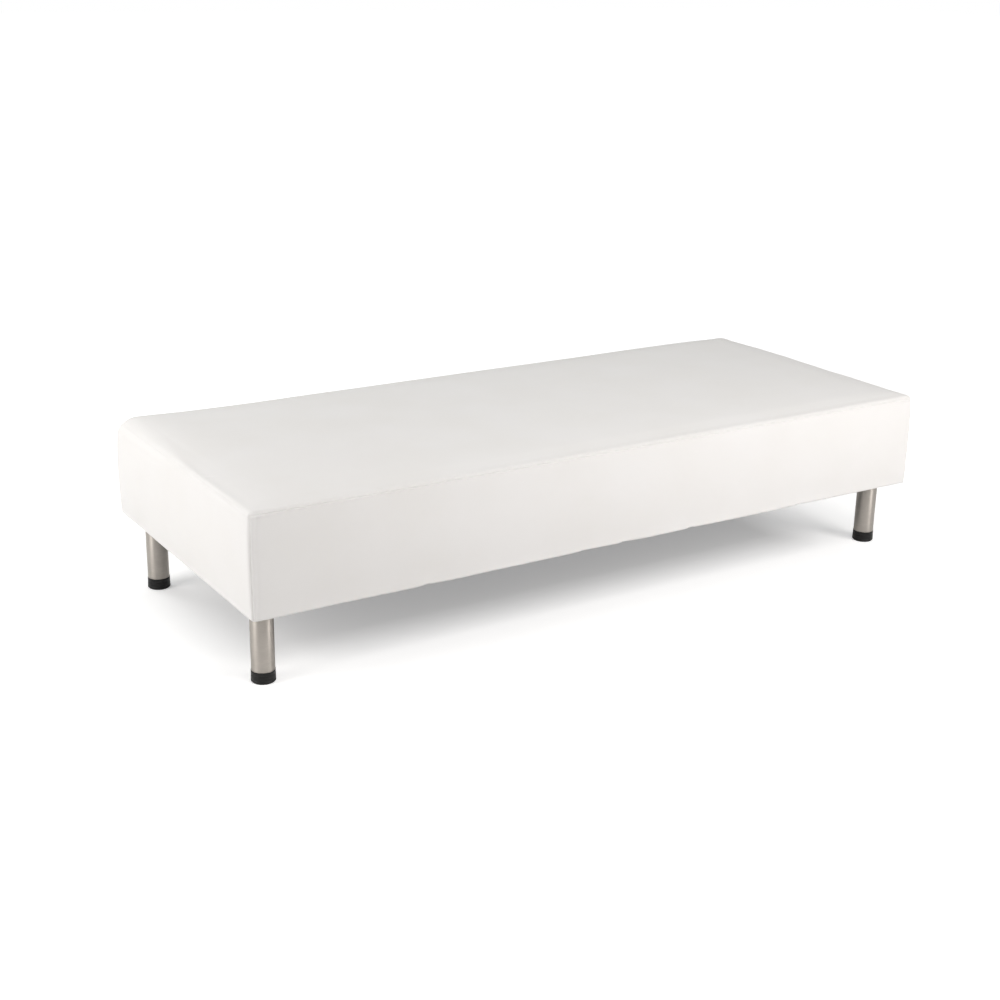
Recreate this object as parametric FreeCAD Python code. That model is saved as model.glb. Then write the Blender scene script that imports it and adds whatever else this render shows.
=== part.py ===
import FreeCAD, Part
import math
import os

# A backless divan: a long padded bench in white leatherette, carried by four steel tube legs
# with screw-in levelling feet. Millimetres, +X along the length, +Y to the back, +Z up,
# origin on the floor under the middle of the bench.

# Overall size
LENGTH = 1800.0
WIDTH = 750.0
UNDERSIDE = 165.0
EDGE_HEIGHT = 397.0

# Swell of the upholstery over its edges, and its rounded edges
CROWN = 8.0
END_CROWN = 4.0
SIDE_BULGE = 4.0
TOP_RADIUS = 12.0
BOTTOM_RADIUS = 5.0
END_RADIUS = 14.0
LEAST_RADIUS = 1.5
FACE_SHARE = 0.3
FACE_SWELL = 0.3

# Soft layers, from the outside in
COVER = 1.2
WADDING = 6.0
SIDE_FOAM = 8.0
LAYER_GAP = 0.3
SEAM_DROP = 6.5
HEM = 45.0
DUST_COVER = 0.6
DUST_LAP = 20.0
CUT_ROUND_PLATE = 2.0

# Timber frame
RAIL = 22.0
RAIL_HEIGHT = 120.0
REBATE = 12.0
CROSS_RAIL = 22.0
CROSS_HEIGHT = 95.0
CROSS_COUNT = 3
DADO = 6.0
BLOCK_LENGTH = 60.0
BLOCK_WIDTH = 85.0
BLOCK_HEIGHT = 45.0
BLOCK_CHAMFER = 25.0
DECK = 9.0
VENT_RADIUS = 20.0

# Hexagon-head wood screws
SCREW_RADIUS = 3.0
SCREW_LENGTH = 38.0
SCREW_CLEARANCE = 0.3
HEAD_RADIUS = 5.8
HEAD_HEIGHT = 4.0

# Steel legs
LEG_FROM_END = 55.0
LEG_FROM_SIDE = 79.0
TUBE_RADIUS = 25.0
TUBE_WALL = 1.5
PLATE_SIZE = 70.0
PLATE = 3.0
PLATE_CORNER = 8.0
PLATE_PITCH = 50.0

# Black tube insert and levelling foot
FOOT_HEIGHT = 20.0
LIP = 2.0
LIP_OVERHANG = 0.3
INSERT_DEPTH = 16.0
INSERT_CLEARANCE = 0.05
INSERT_RIBS = 1
RIB_DEPTH = 1.0
FOOT_GAP = 0.3
FOOT_RADIUS = 26.3
FOOT_CHAMFER = 1.5
FOOT_TAPER = 0.6
STEM_RADIUS = 4.95
STEM_CLEARANCE = 0.05
STEM_TOP = 62.0
STEM_EMBED = 12.0

# Levels and places that follow
FRAME_BOTTOM = UNDERSIDE + COVER
RAIL_TOP = FRAME_BOTTOM + RAIL_HEIGHT
DECK_TOP = RAIL_TOP + DECK
SEAM_HEIGHT = EDGE_HEIGHT - SEAM_DROP
PLATE_BOTTOM = FRAME_BOTTOM - PLATE
FOOT_TOP = FOOT_HEIGHT - LIP - FOOT_GAP
WADDING_INSET = COVER + LAYER_GAP
FOAM_INSET = WADDING_INSET + WADDING + LAYER_GAP
FRAME_X = LENGTH / 2 - FOAM_INSET - SIDE_BULGE - SIDE_FOAM
FRAME_Y = WIDTH / 2 - FOAM_INSET - SIDE_BULGE - SIDE_FOAM
INNER_X = FRAME_X - RAIL
INNER_Y = FRAME_Y - RAIL
LEG_X = LENGTH / 2 - LEG_FROM_END
LEG_Y = WIDTH / 2 - LEG_FROM_SIDE
END_RAIL_Y = FRAME_Y - RAIL + REBATE
LEGS = {
    "front_left": (-1, -1),
    "front_right": (1, -1),
    "back_left": (-1, 1),
    "back_right": (1, 1),
}

os.makedirs("parts", exist_ok=True)


def point(x, y, z):
    return FreeCAD.Vector(x, y, z)


def save(name, shape):
    if not shape.isValid():
        print("not valid:", name)
    shape.exportStep("parts/" + name + ".step")


def box(x0, x1, y0, y1, z0, z1):
    return Part.makeBox(x1 - x0, y1 - y0, z1 - z0, point(x0, y0, z0))


def centred_box(half_x, half_y, z0, z1):
    return box(-half_x, half_x, -half_y, half_y, z0, z1)


def prism(corners, z0, z1):
    points = [point(x, y, z0) for x, y in corners]
    face = Part.Face(Part.makePolygon(points + points[:1]))
    return face.extrude(point(0, 0, z1 - z0))


def turned(profile):
    """A solid turned about the vertical axis from its half profile, a list of (radius, height)."""
    points = [point(r, 0, z) for r, z in profile]
    face = Part.Face(Part.makePolygon(points + points[:1]))
    return face.revolve(point(0, 0, 0), point(0, 0, 1), 360)


def one_solid(shape):
    return shape.Solids[0]


# The upholstered form: level arcs and lines round each station along the length, in one ruled loft

def corner_arc(start, end, turn, outward):
    """An arc from start to end that turns by the given degrees and swells outward."""
    chord = end - start
    normal = chord.cross(point(1, 0, 0)).normalize()
    if normal.dot(outward) < 0:
        normal = normal * -1
    rise = chord.Length / 2 * math.tan(math.radians(turn) / 4)
    return Part.Arc(start, (start + end) * 0.5 + normal * rise, end).toShape()


def crown_at(x):
    """How far the top's middle stands over its edge: nearly even, falling off at the two ends."""
    return END_CROWN + (CROWN - END_CROWN) * (1 - (2 * x / LENGTH) ** 4)


def section(x, inset, swell):
    """One closed outline across the bench, drawn in by the inset all round."""
    top = EDGE_HEIGHT - inset
    bottom = UNDERSIDE + inset
    side = WIDTH / 2 - inset - SIDE_BULGE * swell
    middle = WIDTH / 2 - inset
    top_radius = max(TOP_RADIUS - inset, LEAST_RADIUS)
    bottom_radius = max(BOTTOM_RADIUS - inset, LEAST_RADIUS)
    crown = crown_at(x) * swell
    lean = math.degrees(2 * math.atan(2 * SIDE_BULGE * swell / (top - bottom)))
    slope = math.degrees(2 * math.atan(crown / (side - top_radius)))

    def at(y, z):
        return point(x, y, z)

    def flank(sign):
        foot = at(sign * side, bottom + bottom_radius)
        shoulder = at(sign * side, top - top_radius)
        low = corner_arc(at(sign * (side - bottom_radius), bottom), foot, 90 + lean, point(0, sign, -1))
        wall = Part.Arc(foot, at(sign * middle, (top + bottom) / 2), shoulder).toShape()
        high = corner_arc(shoulder, at(sign * (side - top_radius), top), 90 + lean + slope, point(0, sign, 1))
        return [low, wall, high]

    rim = side - top_radius
    crest = Part.Arc(at(-rim, top), at(0, top + crown), at(rim, top)).toShape()
    base = Part.makeLine(at(bottom_radius - side, bottom), at(side - bottom_radius, bottom))
    return Part.Wire([base] + flank(1) + [crest] + flank(-1)[::-1])


def stations(inset):
    """Places along the right half, each with its inset and swell: body, rounded end, swollen face."""
    turn_x = LENGTH / 2 - SIDE_BULGE - END_RADIUS
    radius = END_RADIUS - inset
    places = [(turn_x * share, inset, 1.0) for share in (0.4, 0.8)]
    for degrees in (0, 27, 54, 81):
        angle = math.radians(degrees)
        places.append((turn_x + radius * math.sin(angle), inset + radius * (1 - math.cos(angle)), 1.0))
    places.append((LENGTH / 2 - inset, (EDGE_HEIGHT - UNDERSIDE) * FACE_SHARE, FACE_SWELL))
    return places


def form(inset):
    right = stations(inset)
    left = [(-x, depth, swell) for x, depth, swell in reversed(right)]
    outlines = [section(*place) for place in left + [(0, inset, 1.0)] + right]
    return Part.makeLoft(outlines, True, True)


def end_region(sign, depth, z0, z1):
    """The room of one end panel, mitred at 45 degrees through both corners."""
    x = LENGTH / 2
    y = WIDTH / 2
    corners = [(x + depth, -y - depth), (x + depth, y + depth), (x - depth, y - depth), (x - depth, depth - y)]
    return prism([(sign * px, py) for px, py in corners], z0, z1)


def side_region(sign, depth, z0, z1):
    """The room of one long side panel, mitred the same way."""
    x = LENGTH / 2
    y = WIDTH / 2
    corners = [(-x - depth, y + depth), (x + depth, y + depth), (x - depth, y - depth), (depth - x, y - depth)]
    return prism([(px, sign * py) for px, py in corners], z0, z1)


def four_sides(shape, depth, z0, z1):
    """The front, back, left and right quarters of a shell, as single solids."""
    regions = {
        "front": side_region(-1, depth, z0, z1),
        "back": side_region(1, depth, z0, z1),
        "left": end_region(-1, depth, z0, z1),
        "right": end_region(1, depth, z0, z1),
    }
    return {side: one_solid(shape.common(region)) for side, region in regions.items()}


def plate_cutouts(z0, z1):
    """Square holes round the leg plates, through the hem and the dust cover."""
    half = PLATE_SIZE / 2 + CUT_ROUND_PLATE
    return [
        box(sx * LEG_X - half, sx * LEG_X + half, sy * LEG_Y - half, sy * LEG_Y + half, z0, z1)
        for sx, sy in LEGS.values()
    ]


def build_cover():
    outer = form(0)
    inner = form(COVER)
    shell = outer.cut(inner)
    hole = centred_box(LENGTH / 2 - HEM, WIDTH / 2 - HEM, UNDERSIDE - PLATE, FRAME_BOTTOM + PLATE)
    shell = shell.cut([hole] + plate_cutouts(UNDERSIDE - PLATE, FRAME_BOTTOM + LAYER_GAP))
    top_room = centred_box(LENGTH, WIDTH, SEAM_HEIGHT, EDGE_HEIGHT + CROWN * 2)
    save("cover_top_panel", one_solid(shell.common(top_room)))
    depth = HEM + RAIL
    for side, panel in four_sides(shell, depth, UNDERSIDE - PLATE, SEAM_HEIGHT).items():
        save("cover_band_" + side, panel)


def build_wadding_and_foam():
    padding = form(WADDING_INSET)
    core = form(WADDING_INSET + WADDING)
    above = centred_box(LENGTH, WIDTH, DECK_TOP, EDGE_HEIGHT + CROWN * 2)
    frame_room = centred_box(FRAME_X, FRAME_Y, 0, DECK_TOP)
    save("wadding_wrap", one_solid(padding.common(above).cut(core)))
    save("seat_foam", one_solid(form(FOAM_INSET).common(above)))
    ring = padding.cut([above, frame_room])
    depth = FOAM_INSET + SIDE_BULGE + SIDE_FOAM + RAIL
    for side, sheet in four_sides(ring, depth, 0, DECK_TOP).items():
        save("side_foam_" + side, sheet)


def build_dust_cover():
    half_x = LENGTH / 2 - HEM + DUST_LAP
    half_y = WIDTH / 2 - HEM + DUST_LAP
    sheet = centred_box(half_x, half_y, UNDERSIDE - DUST_COVER, UNDERSIDE)
    save("dust_cover", one_solid(sheet.cut(plate_cutouts(UNDERSIDE - PLATE, UNDERSIDE + PLATE))))


# Screws that hold the leg plates, and their clearance holes

def screw_places():
    half = PLATE_PITCH / 2
    return [(dx, dy) for dx in (-half, half) for dy in (-half, half)]


def leg_screw(x, y):
    """A hexagon-head wood screw with its head under the plate and its shank up in the timber."""
    corners = []
    for n in range(6):
        angle = math.radians(60 * n)
        corners.append((x + HEAD_RADIUS * math.cos(angle), y + HEAD_RADIUS * math.sin(angle)))
    head = prism(corners, PLATE_BOTTOM - HEAD_HEIGHT, PLATE_BOTTOM)
    shank = Part.makeCylinder(SCREW_RADIUS, SCREW_LENGTH, point(x, y, PLATE_BOTTOM))
    return head.fuse(shank)


def build_leg_screws():
    screws = [
        one_solid(leg_screw(sx * LEG_X + dx, sy * LEG_Y + dy))
        for sx, sy in LEGS.values()
        for dx, dy in screw_places()
    ]
    save("leg_screws", Part.makeCompound(screws))


# Timber frame: long rails rebated for the end rails and grooved for the cross rails

def cross_rail_places():
    gap = 2 * FRAME_X / (CROSS_COUNT + 1)
    return [gap * (n + 1) - FRAME_X for n in range(CROSS_COUNT)]


def build_frame():
    end_rails = {
        "rail_left": box(-FRAME_X, -INNER_X, -END_RAIL_Y, END_RAIL_Y, FRAME_BOTTOM, RAIL_TOP),
        "rail_right": box(INNER_X, FRAME_X, -END_RAIL_Y, END_RAIL_Y, FRAME_BOTTOM, RAIL_TOP),
    }
    half = CROSS_RAIL / 2
    reach = INNER_Y + DADO
    cross_rails = {
        "cross_rail_%d" % number: box(x - half, x + half, -reach, reach, RAIL_TOP - CROSS_HEIGHT, RAIL_TOP)
        for number, x in enumerate(cross_rail_places(), 1)
    }
    seated = {**end_rails, **cross_rails}
    long_rails = {
        "rail_front": box(-FRAME_X, FRAME_X, -FRAME_Y, -INNER_Y, FRAME_BOTTOM, RAIL_TOP),
        "rail_back": box(-FRAME_X, FRAME_X, INNER_Y, FRAME_Y, FRAME_BOTTOM, RAIL_TOP),
    }
    for name, rail in long_rails.items():
        save(name, one_solid(rail.cut(list(seated.values()))))
    for name, rail in seated.items():
        save(name, rail)
    for corner, (sx, sy) in LEGS.items():
        save("corner_block_" + corner, corner_block(sx, sy))


def corner_block(sx, sy):
    """A block glued into the frame's corner, its free corner cut off."""
    near_x = INNER_X - BLOCK_LENGTH
    near_y = INNER_Y - BLOCK_WIDTH
    corners = [
        (INNER_X, INNER_Y),
        (near_x, INNER_Y),
        (near_x, near_y + BLOCK_CHAMFER),
        (near_x + BLOCK_CHAMFER, near_y),
        (INNER_X, near_y),
    ]
    return prism([(sx * x, sy * y) for x, y in corners], FRAME_BOTTOM, FRAME_BOTTOM + BLOCK_HEIGHT)


def build_deck():
    """Plywood with a vent hole in the middle of each bay between the rails."""
    deck = centred_box(FRAME_X, FRAME_Y, RAIL_TOP, DECK_TOP)
    bay = FRAME_X / (CROSS_COUNT + 1)
    vents = [
        Part.makeCylinder(VENT_RADIUS, DECK, point(bay * (2 * n + 1) - FRAME_X, 0, RAIL_TOP))
        for n in range(CROSS_COUNT + 1)
    ]
    save("seat_deck", one_solid(deck.cut(vents)))


# Legs: plate, tube, insert, stem and foot, each turned or cut on its own axis and then moved

def leg_plate():
    half = PLATE_SIZE / 2
    plate = centred_box(half, half, PLATE_BOTTOM, FRAME_BOTTOM)
    uprights = [edge for edge in plate.Edges if edge.BoundBox.ZLength > PLATE / 2]
    plate = plate.makeFillet(PLATE_CORNER, uprights)
    radius = SCREW_RADIUS + SCREW_CLEARANCE
    holes = [Part.makeCylinder(radius, PLATE, point(dx, dy, PLATE_BOTTOM)) for dx, dy in screw_places()]
    return one_solid(plate.cut(holes))


def leg_tube():
    bore = TUBE_RADIUS - TUBE_WALL
    return turned([
        (bore, FOOT_HEIGHT),
        (TUBE_RADIUS, FOOT_HEIGHT),
        (TUBE_RADIUS, PLATE_BOTTOM),
        (bore, PLATE_BOTTOM),
    ])


def foot_insert():
    """A lipped plug with ribs round it, bored for the stem."""
    bore = STEM_RADIUS + STEM_CLEARANCE
    crest = TUBE_RADIUS - TUBE_WALL - INSERT_CLEARANCE
    root = crest - RIB_DEPTH
    lip = TUBE_RADIUS + LIP_OVERHANG
    base = FOOT_HEIGHT - LIP
    profile = [(bore, base), (lip, base), (lip, FOOT_HEIGHT), (root, FOOT_HEIGHT)]
    step = INSERT_DEPTH / (INSERT_RIBS + 1)
    for n in range(1, INSERT_RIBS + 1):
        z = FOOT_HEIGHT + step * n
        profile += [(root, z - RIB_DEPTH), (crest, z), (root, z + RIB_DEPTH)]
    top = FOOT_HEIGHT + INSERT_DEPTH
    profile += [(root, top), (bore, top)]
    return turned(profile)


def foot_stem():
    start = FOOT_TOP - STEM_EMBED
    return Part.makeCylinder(STEM_RADIUS, STEM_TOP - start, point(0, 0, start))


def foot_pad():
    """The moulded foot: chamfered at the floor, slightly tapered up, a blind hole for the stem."""
    return turned([
        (0, 0),
        (FOOT_RADIUS - FOOT_CHAMFER, 0),
        (FOOT_RADIUS, FOOT_CHAMFER),
        (FOOT_RADIUS - FOOT_TAPER, FOOT_TOP),
        (STEM_RADIUS, FOOT_TOP),
        (STEM_RADIUS, FOOT_TOP - STEM_EMBED),
        (0, FOOT_TOP - STEM_EMBED),
    ])


def build_legs():
    pieces = {
        "leg_plate": leg_plate(),
        "leg_tube": leg_tube(),
        "foot_insert": foot_insert(),
        "foot_stem": foot_stem(),
        "foot_pad": foot_pad(),
    }
    for corner, (sx, sy) in LEGS.items():
        for name, piece in pieces.items():
            save(name + "_" + corner, piece.translated(point(sx * LEG_X, sy * LEG_Y, 0)))


build_cover()
build_wadding_and_foam()
build_dust_cover()
build_frame()
build_deck()
build_legs()
build_leg_screws()
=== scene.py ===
"""Looks of the backless divan: white leatherette on brushed steel legs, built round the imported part."""

import math

import bmesh
import bpy
import numpy as np
from mathutils import Matrix, Vector
from mathutils.kdtree import KDTree


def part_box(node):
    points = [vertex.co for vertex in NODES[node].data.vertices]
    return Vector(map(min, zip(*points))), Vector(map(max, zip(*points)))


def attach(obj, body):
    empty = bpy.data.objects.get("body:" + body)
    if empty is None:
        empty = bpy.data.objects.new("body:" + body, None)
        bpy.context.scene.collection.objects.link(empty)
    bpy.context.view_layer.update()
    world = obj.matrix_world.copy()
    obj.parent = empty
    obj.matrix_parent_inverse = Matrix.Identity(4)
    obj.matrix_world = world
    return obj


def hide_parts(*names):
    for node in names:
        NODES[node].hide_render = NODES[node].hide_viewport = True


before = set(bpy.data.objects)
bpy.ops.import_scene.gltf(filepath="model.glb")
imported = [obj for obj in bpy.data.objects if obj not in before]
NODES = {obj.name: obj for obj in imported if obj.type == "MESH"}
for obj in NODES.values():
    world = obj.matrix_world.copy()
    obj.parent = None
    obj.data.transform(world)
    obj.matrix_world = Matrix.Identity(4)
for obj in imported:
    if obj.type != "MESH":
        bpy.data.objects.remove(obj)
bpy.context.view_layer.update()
CORNERS = ("front_left", "front_right", "back_left", "back_right")
SIDES = ("front", "back", "left", "right")

# Sizes of the upholstery, in metres. The sharp box is the form before its edges are rounded
HALF_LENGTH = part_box("cover_band_right")[1].x
HALF_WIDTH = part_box("cover_band_back")[1].y
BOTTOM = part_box("cover_band_front")[0].z
SEAM_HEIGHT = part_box("cover_band_front")[1].z
SIDE_BULGE = 0.004
SHARP_X = HALF_LENGTH - SIDE_BULGE
SHARP_Y = HALF_WIDTH - SIDE_BULGE
TOP_EDGE = 0.397
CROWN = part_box("cover_top_panel")[1].z - TOP_EDGE
TOP_ROUND = 0.012
WALL_ROUND = 0.011
LOW_ROUND = 0.005
COVER = 0.0012
HEM = 0.045
HEM_X, HEM_Y = HALF_LENGTH - HEM, HALF_WIDTH - HEM
WADDING = 0.005
LAYER_GAP = 0.0003
PADDING_GAP = 0.0013
FOAM_GAP = 0.0024
MITRE_GAP = 0.0005
FRAME_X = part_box("rail_right")[1].x
FRAME_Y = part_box("rail_back")[1].y
DECK_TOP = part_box("seat_deck")[1].z

# The holes round the leg plates, in the hems and in the dust cover
PLATE_GAP = 0.002
PLATE_LOW, PLATE_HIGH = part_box("leg_plate_back_right")
CUT_X = (PLATE_LOW.x - PLATE_GAP, PLATE_HIGH.x + PLATE_GAP)
CUT_Y = (PLATE_LOW.y - PLATE_GAP, PLATE_HIGH.y + PLATE_GAP)

TINY = 1e-6


def seam_on_sharp_box():
    """The height on the sharp box that the top edge's rounding carries to the seam's height."""
    centre = TOP_EDGE - TOP_ROUND
    sine = (SEAM_HEIGHT - centre) / TOP_ROUND
    return centre + TOP_ROUND * sine / math.sqrt(1 - sine * sine)


SEAM_LINE = seam_on_sharp_box()


def smooth(low, high, x):
    """0 on low's side, 1 on high's, and a smooth rise between them."""
    t = np.clip((x - low) / (high - low), 0, 1)
    return t * t * (3 - 2 * t)


def hump(x, width):
    """A bell of height 1 about 0."""
    return np.exp(-((x / width) ** 2))


def ridge(distance, shape):
    """A rounded ridge of a (height, place, width), or a groove where the height is negative."""
    height, place, width = shape
    return height * hump(distance - place, width)


NOISE_CELLS = 64


def value_noise(points, sizes, seed):
    """Smooth noise from -1 to 1 at each point, with features about sizes wide along x, y and z."""
    lattice = np.random.default_rng(seed).uniform(-1, 1, (NOISE_CELLS,) * 3)
    p = points / np.array(sizes) + (10 * NOISE_CELLS + 0.5)
    base = np.floor(p).astype(int)
    f = p - base
    f = f * f * (3 - 2 * f)
    total = np.zeros(len(points))
    for corner in np.ndindex(2, 2, 2):
        weight = np.prod(np.where(corner, f, 1 - f), axis=1)
        i = (base + corner) % NOISE_CELLS
        total += weight * lattice[i[:, 0], i[:, 1], i[:, 2]]
    return total


def new_object(name, data):
    made = bpy.data.objects.new(name, data)
    bpy.context.scene.collection.objects.link(made)
    return made


# Meshes
def mesh_object(name, points, faces):
    mesh = bpy.data.meshes.new(name)
    mesh.from_pydata([tuple(p) for p in points], [], [tuple(f) for f in faces])
    mesh.polygons.foreach_set("use_smooth", [True] * len(mesh.polygons))
    mesh.update()
    return new_object(name, mesh)


def finish_piece(piece, body, materials, stands_for=()):
    """Gives a piece its materials, and lets it ride on its body in place of CAD nodes."""
    for material in materials:
        piece.data.materials.append(material)
    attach(piece, body)
    if stands_for:
        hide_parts(*stands_for)


def thicken(piece, thickness, inner_material=0):
    """Gives a surface a thickness, inward from where it is."""
    shell = piece.modifiers.new("thickness", "SOLIDIFY")
    shell.thickness = thickness
    shell.offset = -1
    shell.material_offset = inner_material


def both(*values):
    return [sign * value for value in values for sign in (-1, 1)]


LEAST_SPACING = 0.0006


def graded(half, steps, middle, extra=()):
    """Positions from -half to half, about middle apart and closer near both ends, with the extra ones.
    Each step is a (distance from the end, spacing up to there)."""
    reach, offsets = 0.0, [0.0]
    for zone, spacing in steps:
        count = max(1, round((zone - reach) / spacing))
        offsets += list(reach + (zone - reach) * (np.arange(count) + 1) / count)
        reach = zone
    inner = half - reach
    count = max(1, round(2 * inner / middle))
    found = [half - o for o in offsets] + [o - half for o in offsets]
    found += list(np.linspace(-inner, inner, count + 1)[1:-1])
    clear = [f for f in found if abs(f) == half or all(abs(f - e) > LEAST_SPACING for e in extra)]
    return np.array(sorted(clear + list(extra)))


def plan_lines(steps, middle):
    """The lines of the sharp box along x and y, with no extra ones."""
    return graded(SHARP_X, steps, middle), graded(SHARP_Y, steps, middle)


class Lattice:
    """The surface of a box as a grid of quads, with lines at xs, ys and zs.
    keep(side, corner, opposite corner) says whether a quad stays."""

    def __init__(self, xs, ys, zs, keep=lambda side, low, high: True):
        index, cells, self.faces, self.sides = {}, [], [], []
        nx, ny, nz = len(xs) - 1, len(ys) - 1, len(zs) - 1

        def place(corner):
            return xs[corner[0]], ys[corner[1]], zs[corner[2]]

        def quad(side, *corners):
            if not keep(side, place(corners[0]), place(corners[2])):
                return
            for corner in corners:
                if corner not in index:
                    index[corner] = len(cells)
                    cells.append(corner)
            self.faces.append([index[c] for c in corners])
            self.sides.append(side)

        for i in range(nx):
            for j in range(ny):
                quad("under", (i, j, 0), (i, j + 1, 0), (i + 1, j + 1, 0), (i + 1, j, 0))
                quad("top", (i, j, nz), (i + 1, j, nz), (i + 1, j + 1, nz), (i, j + 1, nz))
        for k in range(nz):
            for i in range(nx):
                quad("front", (i, 0, k), (i + 1, 0, k), (i + 1, 0, k + 1), (i, 0, k + 1))
                quad("back", (i, ny, k), (i, ny, k + 1), (i + 1, ny, k + 1), (i + 1, ny, k))
            for j in range(ny):
                quad("left", (0, j, k), (0, j, k + 1), (0, j + 1, k + 1), (0, j + 1, k))
                quad("right", (nx, j, k), (nx, j + 1, k), (nx, j + 1, k + 1), (nx, j, k + 1))
        c = np.array(cells)
        self.points = np.stack([xs[c[:, 0]], ys[c[:, 1]], zs[c[:, 2]]], 1)
        self.wall = (c[:, 0] == 0) | (c[:, 0] == nx) | (c[:, 1] == 0) | (c[:, 1] == ny)
        self.front = c[:, 1] == 0
        self.left = c[:, 0] == 0
        self.ceiling = c[:, 2] == nz
        self.ground = c[:, 2] == 0


def open_below(side, low, high):
    return side != "under"


def normals_of(points, faces):
    """A unit normal at each point of a grid of quads."""
    f = np.array(faces)
    cross = np.cross(points[f[:, 2]] - points[f[:, 0]], points[f[:, 3]] - points[f[:, 1]])
    total = np.zeros_like(points)
    for k in range(4):
        np.add.at(total, f[:, k], cross)
    return total / np.maximum(np.linalg.norm(total, axis=1, keepdims=True), 1e-12)


def turned(name, profile, centre, segments=96, wobble=None):
    """A closed ring or cup: the closed outline of (radius, height) points turned about an upright axis.
    Its object sits on that axis. wobble(angle, radius) may change a point's radius."""
    points, faces, count = [], [], len(profile)
    for s in range(segments):
        a = 2 * math.pi * s / segments
        for r, z in profile:
            r = wobble(a, r) if wobble else r
            points.append((r * math.cos(a), r * math.sin(a), z))
    for s in range(segments):
        t = (s + 1) % segments
        for k in range(count):
            m = (k + 1) % count
            faces.append((s * count + k, t * count + k, t * count + m, s * count + m))
    piece = mesh_object(name, points, faces)
    piece.location = (centre[0], centre[1], 0)
    mark_sharp(piece)
    return piece


SHARP_TURN = math.radians(38)


def mark_sharp(piece):
    """Edges that turn by more than SHARP_TURN are shaded sharp, and doubled points are joined."""
    bm = bmesh.new()
    bm.from_mesh(piece.data)
    bmesh.ops.remove_doubles(bm, verts=bm.verts, dist=1e-7)
    bmesh.ops.dissolve_degenerate(bm, edges=bm.edges, dist=1e-8)
    bmesh.ops.recalc_face_normals(bm, faces=bm.faces)
    for edge in bm.edges:
        if len(edge.link_faces) == 2:
            edge.smooth = edge.calc_face_angle(0.0) < SHARP_TURN
    bm.to_mesh(piece.data)
    bm.free()


def eased(corners, radius, steps=3):
    """A closed outline of (radius, height) corners with each corner rounded, except on the axis."""
    nearly_straight = math.radians(86)
    longest_share = 0.45
    found, count = [], len(corners)
    for k, corner in enumerate(corners):
        p, a, b = Vector(corner), Vector(corners[k - 1]), Vector(corners[(k + 1) % count])
        u, v = (a - p).normalized(), (b - p).normalized()
        half = math.acos(max(-1.0, min(1.0, u.dot(v)))) / 2
        if corner[0] < TINY or half > nearly_straight:
            found.append(tuple(p))
            continue
        longest = longest_share * min((a - p).length, (b - p).length)
        back = min(radius / math.tan(half), longest)
        for n in range(steps + 1):
            t = n / steps
            q = (p + u * back) * (1 - t) ** 2 + p * 2 * t * (1 - t) + (p + v * back) * t * t
            found.append(tuple(q))
    return found


def joined_rings(rings, sides):
    """Quads between rings of points, each ring with so many sides."""
    return [(n * sides + s, n * sides + t, (n + 1) * sides + t, (n + 1) * sides + s)
            for n in range(rings - 1) for s, t in zip(range(sides), [*range(1, sides), 0])]


def wire(path, radius, sides=6):
    """Points and faces of a round wire along a path of points."""
    points = []
    for n, p in enumerate(path):
        ahead = Vector(path[min(n + 1, len(path) - 1)]) - Vector(path[max(n - 1, 0)])
        ahead.normalize()
        across = ahead.cross(Vector((0, 0, 1)))
        across = Vector((0, 1, 0)) if across.length < 1e-3 else across.normalized()
        other = ahead.cross(across)
        for s in range(sides):
            a = 2 * math.pi * s / sides
            points.append(Vector(p) + radius * (across * math.cos(a) + other * math.sin(a)))
    faces = joined_rings(len(path), sides)
    faces.append(tuple(range(sides)))
    faces.append(tuple((len(path) - 1) * sides + s for s in reversed(range(sides))))
    return points, faces


# Shader nodes
class Nodes:
    """A node tree and the nodes that materials, the floor and the world are made of."""

    def __init__(self, tree):
        self.tree = tree

    def add(self, kind, links=None, **settings):
        """A node with its sockets or properties set, and outputs linked to its sockets."""
        node = self.tree.nodes.new(kind)
        for key, value in settings.items():
            if key in node.inputs:
                node.inputs[key].default_value = value
            else:
                setattr(node, key, value)
        for socket, output in (links or {}).items():
            self.tree.links.new(output, node.inputs[socket])
        return node

    def feed(self, socket, value):
        """A number or colour is set on the socket itself, and an output is linked to it."""
        if isinstance(value, (int, float)):
            socket.default_value = value
        elif isinstance(value, tuple):
            socket.default_value = (*value, 1)
        else:
            self.tree.links.new(value, socket)

    def calculate(self, how, *values):
        """An operation on numbers."""
        node = self.add("ShaderNodeMath", operation=how)
        for socket, value in zip(node.inputs, values):
            self.feed(socket, value)
        return node.outputs["Value"]

    def vector(self, how, place, other=None, result="Vector"):
        """An operation on a place, and on another one where it needs two."""
        node = self.add("ShaderNodeVectorMath", {0: place}, operation=how)
        if other:
            node.inputs[1].default_value = other
        return node.outputs[result]

    def spread(self, value, low, high, start=0.0, end=1.0):
        """value, from start to end, turned into low to high."""
        node = self.add("ShaderNodeMapRange", {"Value": value})
        for socket, number in (("From Min", start), ("From Max", end), ("To Min", low), ("To Max", high)):
            node.inputs[socket].default_value = number
        return node.outputs["Result"]

    def ramp(self, value, *stops):
        """Colours at places from 0 to 1."""
        node = self.add("ShaderNodeValToRGB", {"Fac": value})
        elements = node.color_ramp.elements
        while len(elements) < len(stops):
            elements.new(0.5)
        for element, (position, colour) in zip(elements, stops):
            element.position = position
            element.color = (*colour, 1)
        return node.outputs["Color"]

    def mix(self, factor, a, b):
        """Two colours mixed. The Mix node has sockets of one name for each kind, so they go by number."""
        node = self.add("ShaderNodeMix", data_type="RGBA")
        for number, value in ((0, factor), (6, a), (7, b)):
            self.feed(node.inputs[number], value)
        return node.outputs[2]


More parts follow.
